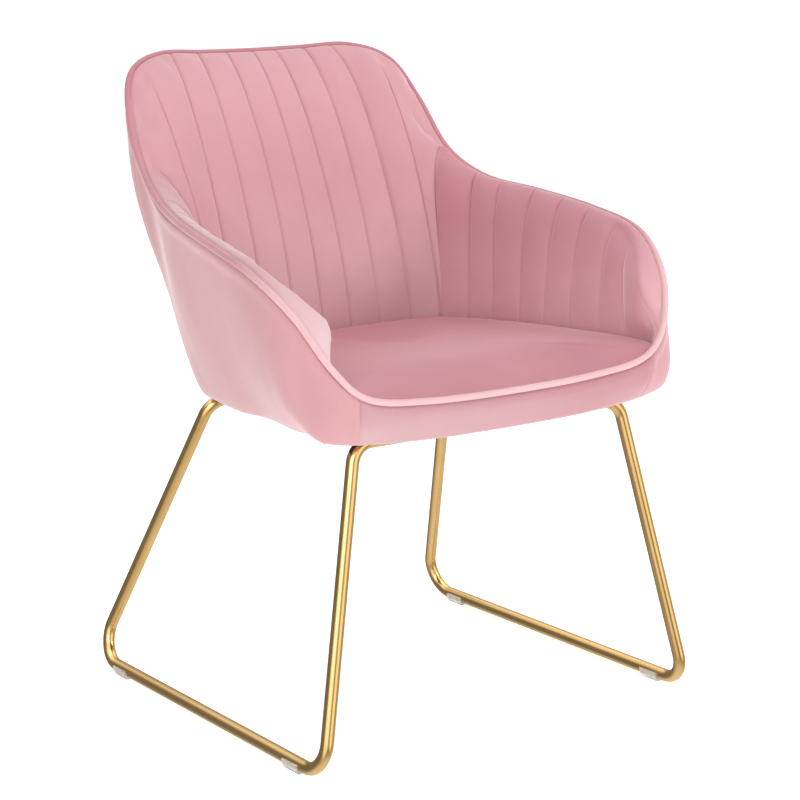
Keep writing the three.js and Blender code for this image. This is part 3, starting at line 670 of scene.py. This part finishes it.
def cover(name, stations, node, material, seams):
    """seams: station and depth of the sewn seams along the piece's ends."""
    v_rows = np.concatenate([np.linspace(0, 0.12, 13), np.linspace(0.12, 0.93, 40)[1:]])
    u = stations
    side = np.where((u > LAST) | (u < 0), -1.0, 1.0)
    half = half_station(u)
    near_corner = np.exp(-((half - FRONT_CORNER) / CORNER_REACH)**2)
    leaning = half + near_corner * (LEAN_TOP - LEAN_FALL * v_rows[:, None])
    down = outside(leaning, np.broadcast_to(v_rows[:, None], leaning.shape))
    full = np.concatenate([down, rolled_edge(leaning[-1], down[-1])], 0)
    full[..., 0] *= side
    normal = np.cross(np.gradient(full, axis=1), np.gradient(full, axis=0))
    normal /= np.linalg.norm(normal, axis=-1, keepdims=True) + 1e-9
    out = outward(half) * np.stack([side, 0 * side + 1, 0 * side + 1], -1)
    middle = len(v_rows) // 2
    if (normal[middle] * out).sum() < 0:
        normal = -normal
    below = np.linalg.norm(full - full[0], axis=-1)
    height = 2.4 * np.exp(-((below - 12) / 8)**2) - 2.2 * np.exp(-((below - 4.6) / 1.7)**2)
    height += smooth_noise(full, 90.0, 5.3) * 1.3 + smooth_noise(full, 30.0, 1.7) * 0.25
    fade = np.clip(1.6 - 1.6 * np.arange(len(full)) / len(full), 0, 1)[:, None]
    height *= fade
    for at, depth in seams:
        dist = np.abs(u - at) * MM_PER_STATION
        height -= depth * (np.exp(-(dist / 1.4)**2) - 0.7 * np.exp(-((dist - 7) / 5)**2))[None] * fade
    face = full + normal * height[..., None]
    obj = new_object(name, *slab_mesh(face, full - normal * COVER_THICKNESS), material)
    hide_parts(node)
    return obj


def make_outside():
    """Apron, arm and back covers, with their columns closest together beside the sewn corners."""
    front, rear = FRONT_CORNER, BACK_CORNER
    front_depth, rear_depth = 1.3, 0.4
    edge = 0.06
    close = np.concatenate([[0], np.linspace(0.01, edge, 6)])
    apron_half = np.concatenate([np.linspace(0, front - edge, 40)[:-1], (front - close)[::-1]])
    apron = np.concatenate([-apron_half[::-1], apron_half[1:]])
    along = np.linspace(front + edge, rear - edge, 150)[1:-1]
    arm = np.concatenate([front + close, along, (rear - close)[::-1]])
    back_half = np.concatenate([rear + close, np.linspace(rear + edge, LAST, 60)[1:]])
    back = np.concatenate([back_half, (2 * LAST - back_half[:-1])[::-1]])
    return [
        cover("front_apron", apron, "front_apron_cover", VELVET_APRON,
              [(front, front_depth), (-front, front_depth)]),
        cover("outside_arm_left", arm, "outside_arm_cover_left", VELVET_OUTER,
              [(front, front_depth), (rear, rear_depth)]),
        cover("outside_arm_right", -arm[::-1], "outside_arm_cover_right", VELVET_OUTER,
              [(-front, front_depth), (-rear, rear_depth)]),
        cover("outside_back", back, "outside_back_cover", VELVET_OUTER,
              [(rear, rear_depth), (2 * LAST - rear, rear_depth)]),
    ]


# ------------------------------------------------------------------ welt


def make_welt():
    u = np.linspace(-LAST, LAST, 561)[:-1]
    p = around(rim, u)
    n = len(p)
    sides = 16
    angle = np.linspace(0, 2 * np.pi, sides, endpoint=False)
    ripples = np.array([[noise.noise(Vector((k * 0.9, math.cos(a) * 0.8, math.sin(a) * 0.8))) for a in angle]
                        for k in range(n)])
    obj = new_object("welt", *tube_mesh(p, WELT_RADIUS, sides, True, ripples * 0.18), VELVET_WELT)
    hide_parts("welt_cord")
    return [obj]


# ------------------------------------------------------------------ seat


def seat_loop():
    """Edge of the seat's top, once round the tub."""
    front = np.linspace(0, 2.44, 30)
    rest = np.concatenate([np.linspace(2.47, 9.4, 70), np.linspace(9.5, LAST, 50)])
    edge_front = rim(front) - outward(front) * 1.5
    edge_front[:, 2] += 1.0
    edge_rest = joint(rest) + outward(rest) * 3.0
    half = np.vstack([edge_front, edge_rest])
    return np.vstack([half, half[1:-1][::-1] * MIRROR])


SEAT_ROLL = 10.0
SEAT_CROWN = 13.0
SEAT_START = 6.0
SEAT_CENTRE = np.array([0.0, -85.0, 452.0])
SEAT_FOOT = BOARD_TOP + 2.5


def make_seat():
    loop = seat_loop()
    for _ in range(3):
        loop = (np.roll(loop, 1, 0) + 2 * loop + np.roll(loop, -1, 0)) / 4
    centre = SEAT_CENTRE
    count = len(loop)
    rings = 42
    r = 1 - np.linspace(0, 1, rings + 1)[:-1]**1.35
    top = centre + (loop - centre)[None] * r[:, None, None]
    waves = np.fft.fft(loop[:, 2])
    order = np.abs(np.fft.fftfreq(count) * count)
    z = np.array([np.fft.ifft(waves * share**order).real for share in r])
    reach = np.linalg.norm((loop - centre)[:, :2], axis=1)
    d = (1 - r)[:, None] * reach[None]
    dome = 1 - (1 - np.clip(d / 190, 0, 1))**2
    lip = np.clip(1 - d / SEAT_ROLL, 0, 1)
    rolled = z - 7.0 * (1 - np.sqrt(1 - lip**2 * 0.999))
    top[..., 2] = rolled + SEAT_START * dome
    sewn = np.zeros(top.shape[:2], bool)
    sewn[0] = True
    normals = grid_normals(top, np.array([0.0, -85.0, 2000.0]))
    rise = smoothed_rows(inflate(top, normals, sewn, SEAT_CROWN - SEAT_START, 2.0, 0.01, True), 16)
    rise = np.fft.ifft(np.fft.fft(rise, axis=1) * np.exp(-(order / 5)**2), axis=1).real
    rise *= smoothstep(d, 0, 12)
    top += normals * rise[..., None]
    uneven = smooth_noise(top, 110.0, 2.2) * 1.6 + smooth_noise(top, 36.0, 7.7) * 0.3
    top[..., 2] += np.clip(d / 40, 0, 1) * uneven
    skirt_a = top[0] + (centre - top[0]) * 0.004
    skirt_a[:, 2] = top[0][:, 2] - 14
    skirt_b = centre + (loop - centre) * 0.93
    skirt_b[:, 2] = SEAT_FOOT
    grid = np.array([skirt_b, skirt_a] + list(top))
    rows = len(grid)
    flat = grid.reshape(-1, 3)
    bottom_centre = [[*centre[:2], SEAT_FOOT]]
    top_centre = [[*centre[:2], grid[-1, :, 2].mean() + 0.05]]
    flat = np.vstack([flat, bottom_centre, top_centre])
    faces = []
    for i in range(rows - 1):
        for j in range(count):
            k = (j + 1) % count
            faces.append((i * count + j, i * count + k, (i + 1) * count + k, (i + 1) * count + j))
    for j in range(count):
        k = (j + 1) % count
        faces.append((k, j, rows * count))
        faces.append(((rows - 1) * count + j, (rows - 1) * count + k, rows * count + 1))
    obj = new_object("seat_cushion", flat, oriented(flat, faces), VELVET_SEAT, 75)
    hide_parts("seat_pad")
    return [obj]


# ------------------------------------------------------------------ sled base

TUBE_RADIUS = 8.0
GLIDE_HEIGHT = 1.8
FRONT_ARM_Z = UNDERSIDE - 0.4 - TUBE_RADIUS
REAR_ARM_Z = 383.1
RUNNER_X, RUNNER_FRONT_Y, RUNNER_REAR_Y = 276, -288.8, 297.5
FRONT_LEG_TOP = (197.3, -250.7)
REAR_LEG_TOP = (188.5, 107.2)
ARM_END_X = 100
BENDS = [28, 36, 36, 28]


def bent_points(corners, radii, arc_steps=18, straight_steps=10):
    """Centre line through corners rounded to their radii."""
    points = [corners[0]]
    for i in range(1, len(corners) - 1):
        into = corners[i] - corners[i - 1]
        into /= np.linalg.norm(into)
        out = corners[i + 1] - corners[i]
        out /= np.linalg.norm(out)
        turn = math.acos(np.dot(into, out))
        radius = radii[i - 1]
        start = corners[i] - into * radius * math.tan(turn / 2)
        inner = out - into * np.dot(into, out)
        inner /= np.linalg.norm(inner)
        previous = points[-1]
        for s in range(1, straight_steps):
            points.append(previous + (start - previous) * s / straight_steps)
        for k in range(arc_steps + 1):
            angle = turn * k / arc_steps
            points.append(start + into * radius * math.sin(angle) + inner * radius * (1 - math.cos(angle)))
    previous = points[-1]
    for s in range(1, straight_steps + 1):
        points.append(previous + (corners[-1] - previous) * s / straight_steps)
    return np.array(points)


def make_base():
    made = []
    for side, name in ((1, "left"), (-1, "right")):
        runner_z = GLIDE_HEIGHT + TUBE_RADIUS
        corners = [np.array([side * x, y, z]) for x, y, z in (
            (ARM_END_X, FRONT_LEG_TOP[1], FRONT_ARM_Z), (*FRONT_LEG_TOP, FRONT_ARM_Z),
            (RUNNER_X, RUNNER_FRONT_Y, runner_z), (RUNNER_X, RUNNER_REAR_Y, runner_z),
            (*REAR_LEG_TOP, REAR_ARM_Z), (ARM_END_X, REAR_LEG_TOP[1], REAR_ARM_Z))]
        path = bent_points(corners, BENDS)
        obj = new_object(f"sled_{name}", *tube_mesh(path, TUBE_RADIUS, 32), GOLD)
        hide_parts(f"sled_frame_{name}")
        made.append(obj)
    return made


# ------------------------------------------------------------------ under the seat


LINING_THICKNESS = 0.8
LINING_CENTRE = (0.0, -60.0)


def make_lining():
    half = np.linspace(0, LAST, 120)
    edge = base(half) - outward(half) * (TUCK_DEPTH + 0.5)
    gaps = np.linalg.norm(edge[:, None, :2] - base(half)[None, :, :2], axis=-1).min(1)
    edge = edge[gaps > TUCK_DEPTH + 0.2]
    loop = np.vstack([edge, edge[1:-1][::-1] * MIRROR])
    centre = np.array([*LINING_CENTRE, 0.0])
    rings = 14
    rows = []
    for k in range(rings):
        share = 1 - k / rings
        ring = centre + (loop - centre) * share
        ring[:, 2] = UNDERSIDE
        rows.append(ring)
    low = np.array(rows)
    low[..., 2] += smooth_noise(low, 60.0, 4.4) * 0.25
    high = low + np.array([0, 0, LINING_THICKNESS])
    count = len(loop)
    middles = [[*LINING_CENTRE, UNDERSIDE], [*LINING_CENTRE, UNDERSIDE + LINING_THICKNESS]]
    flat = np.vstack([low.reshape(-1, 3), high.reshape(-1, 3), middles])
    size = rings * count
    faces = []
    for i in range(rings - 1):
        for j in range(count):
            k = (j + 1) % count
            a, b, c, d = i * count + j, i * count + k, (i + 1) * count + k, (i + 1) * count + j
            faces += [(a, b, c, d), (size + d, size + c, size + b, size + a)]
    for j in range(count):
        k = (j + 1) % count
        faces.append((k, j, size + j, size + k))
        faces.append(((rings - 1) * count + j, (rings - 1) * count + k, 2 * size))
        faces.append((size + (rings - 1) * count + k, size + (rings - 1) * count + j, 2 * size + 1))
    obj = new_object("dust_lining", flat, oriented(flat, faces), LINING)
    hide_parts("dust_cover")
    return [obj]


# ------------------------------------------------------------------ assembly

made = make_inside() + make_outside() + make_welt() + make_seat() + make_base() + make_lining()
for piece in made:
    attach(piece, "root")

for node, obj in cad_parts.items():
    material = CARRIED.get(node.split("_")[0])
    if material is None and (node.endswith("_board") or "shell" in node or "rail" in node):
        material = PLYWOOD
    if material is not None:
        for slot in obj.material_slots:
            slot.material = material

# ------------------------------------------------------------------ floor, light and camera


def plain(name, colour, roughness, glow):
    n = Nodes(name)
    mottle = n.noise(3.0, 2.0, 0.5)
    lighter = tuple(min(c * 1.015, 1) for c in colour)
    return n.set(Base_Color=n.ramp(mottle, [(0.3, colour), (0.7, lighter)]), Roughness=roughness,
                 Specular_IOR_Level=0.2, Emission_Color=(1.0, 1.0, 1.0, 1.0), Emission_Strength=glow)


def studio_world():
    """Even white round the camera and the cloth; soft boxes and dark flats in the metal's reflections."""
    world = bpy.data.worlds.new("studio")
    bpy.context.scene.world = world
    world.use_nodes = True
    tree = world.node_tree
    nodes, links = tree.nodes, tree.links
    direction = nodes.new("ShaderNodeTexCoord").outputs["Generated"]
    total = None
    for towards, near, far, power in BOXES:
        dot = nodes.new("ShaderNodeVectorMath")
        dot.operation = "DOT_PRODUCT"
        links.new(direction, dot.inputs[0])
        dot.inputs[1].default_value = Vector(towards).normalized()
        lobe = nodes.new("ShaderNodeMapRange")
        lobe.interpolation_type = "SMOOTHSTEP"
        links.new(dot.outputs["Value"], lobe.inputs["Value"])
        for key, value in (("From Min", far), ("From Max", near), ("To Min", 0.0), ("To Max", power)):
            lobe.inputs[key].default_value = value
        if total is None:
            total = lobe.outputs["Result"]
        else:
            add = nodes.new("ShaderNodeMath")
            links.new(total, add.inputs[0])
            links.new(lobe.outputs["Result"], add.inputs[1])
            total = add.outputs[0]
    path = nodes.new("ShaderNodeLightPath")
    shown = nodes.new("ShaderNodeMix")
    links.new(path.outputs["Is Camera Ray"], shown.inputs["Factor"])
    shown.inputs["A"].default_value = WORLD_LIGHT
    shown.inputs["B"].default_value = 1.0
    glossy = nodes.new("ShaderNodeMix")
    links.new(path.outputs["Is Glossy Ray"], glossy.inputs["Factor"])
    links.new(shown.outputs["Result"], glossy.inputs["A"])
    links.new(total, glossy.inputs["B"])
    links.new(glossy.outputs["Result"], nodes["Background"].inputs["Strength"])
    nodes["Background"].inputs["Color"].default_value = (1.0, 1.0, 1.0, 1.0)


WORLD_LIGHT = 0.46
FLOOR_GLOW = 0.62
# Soft boxes seen in the metal: direction, cosines where full and where gone, brightness.
BOXES = [
    ((-0.95, -0.75, 0.1), 0.93, 0.72, 1.4),
    ((0.5, -1.0, 0.0), 0.97, 0.84, 1.5),
    ((0.0, 0.1, 1.0), 0.9, 0.35, 1.9),
    ((0.0, 0.0, -1.0), 0.95, 0.3, 0.9),
    ((1.0, 0.3, -0.1), 0.95, 0.6, 0.5),
    ((0.0, 0.0, 1.0), -1.0, -1.1, 0.28),
]
# Disc lamps aimed at LIT_POINT: name, place, width, power.
LIT_POINT = Vector((0, -0.02, 0.42))
LIGHTS = (
    ("key", (2.7, -2.7, 2.1), 1.6, 56.0),
    ("fill", (-2.6, -2.3, 1.5), 2.2, 43.0),
    ("front", (-0.6, -3.4, 2.3), 1.8, 12.0),
    ("top", (0.2, 0.3, 3.6), 2.4, 34.0),
)


def make_stage():
    mesh = bpy.data.meshes.new("floor")
    half, low = 60.0, -0.0003
    mesh.from_pydata([(-half, -half, low), (half, -half, low), (half, half, low), (-half, half, low)],
                     [], [(0, 1, 2, 3)])
    floor = bpy.data.objects.new("floor", mesh)
    bpy.context.scene.collection.objects.link(floor)
    mesh.materials.append(plain("floor", (0.90, 0.90, 0.90), 0.8, FLOOR_GLOW))
    floor.visible_glossy = False
    studio_world()
    for name, at, width, power in LIGHTS:
        data = bpy.data.lights.new(name, "AREA")
        data.shape = "DISK"
        data.size = width
        data.energy = power
        lamp = bpy.data.objects.new(name, data)
        bpy.context.scene.collection.objects.link(lamp)
        lamp.location = at
        lamp.rotation_euler = (LIT_POINT - Vector(at)).to_track_quat("-Z", "Y").to_euler()


def make_camera():
    azimuth, elevation, roll = math.radians(-33.73), math.radians(11.11), math.radians(-1.403)
    target, distance = Vector((0, -0.057, 0.4)), 2.851
    level = Vector((math.sin(azimuth), -math.cos(azimuth), 0)) * math.cos(elevation)
    back = level + Vector((0, 0, math.sin(elevation)))
    right = Vector((math.cos(azimuth), math.sin(azimuth), 0))
    up = right.cross(-back)
    right, up = right * math.cos(roll) + up * math.sin(roll), up * math.cos(roll) - right * math.sin(roll)
    data = bpy.data.cameras.new("camera")
    data.lens = 100.18
    data.sensor_width = 36.0
    data.shift_x = -0.0019
    data.shift_y = -0.0146
    camera = bpy.data.objects.new("camera", data)
    bpy.context.scene.collection.objects.link(camera)
    turn = Matrix((right, up, back)).transposed().to_4x4()
    camera.matrix_world = Matrix.Translation(target + back * distance) @ turn
    bpy.context.scene.camera = camera


make_stage()
make_camera()
bpy.context.scene.view_settings.view_transform = "Standard"
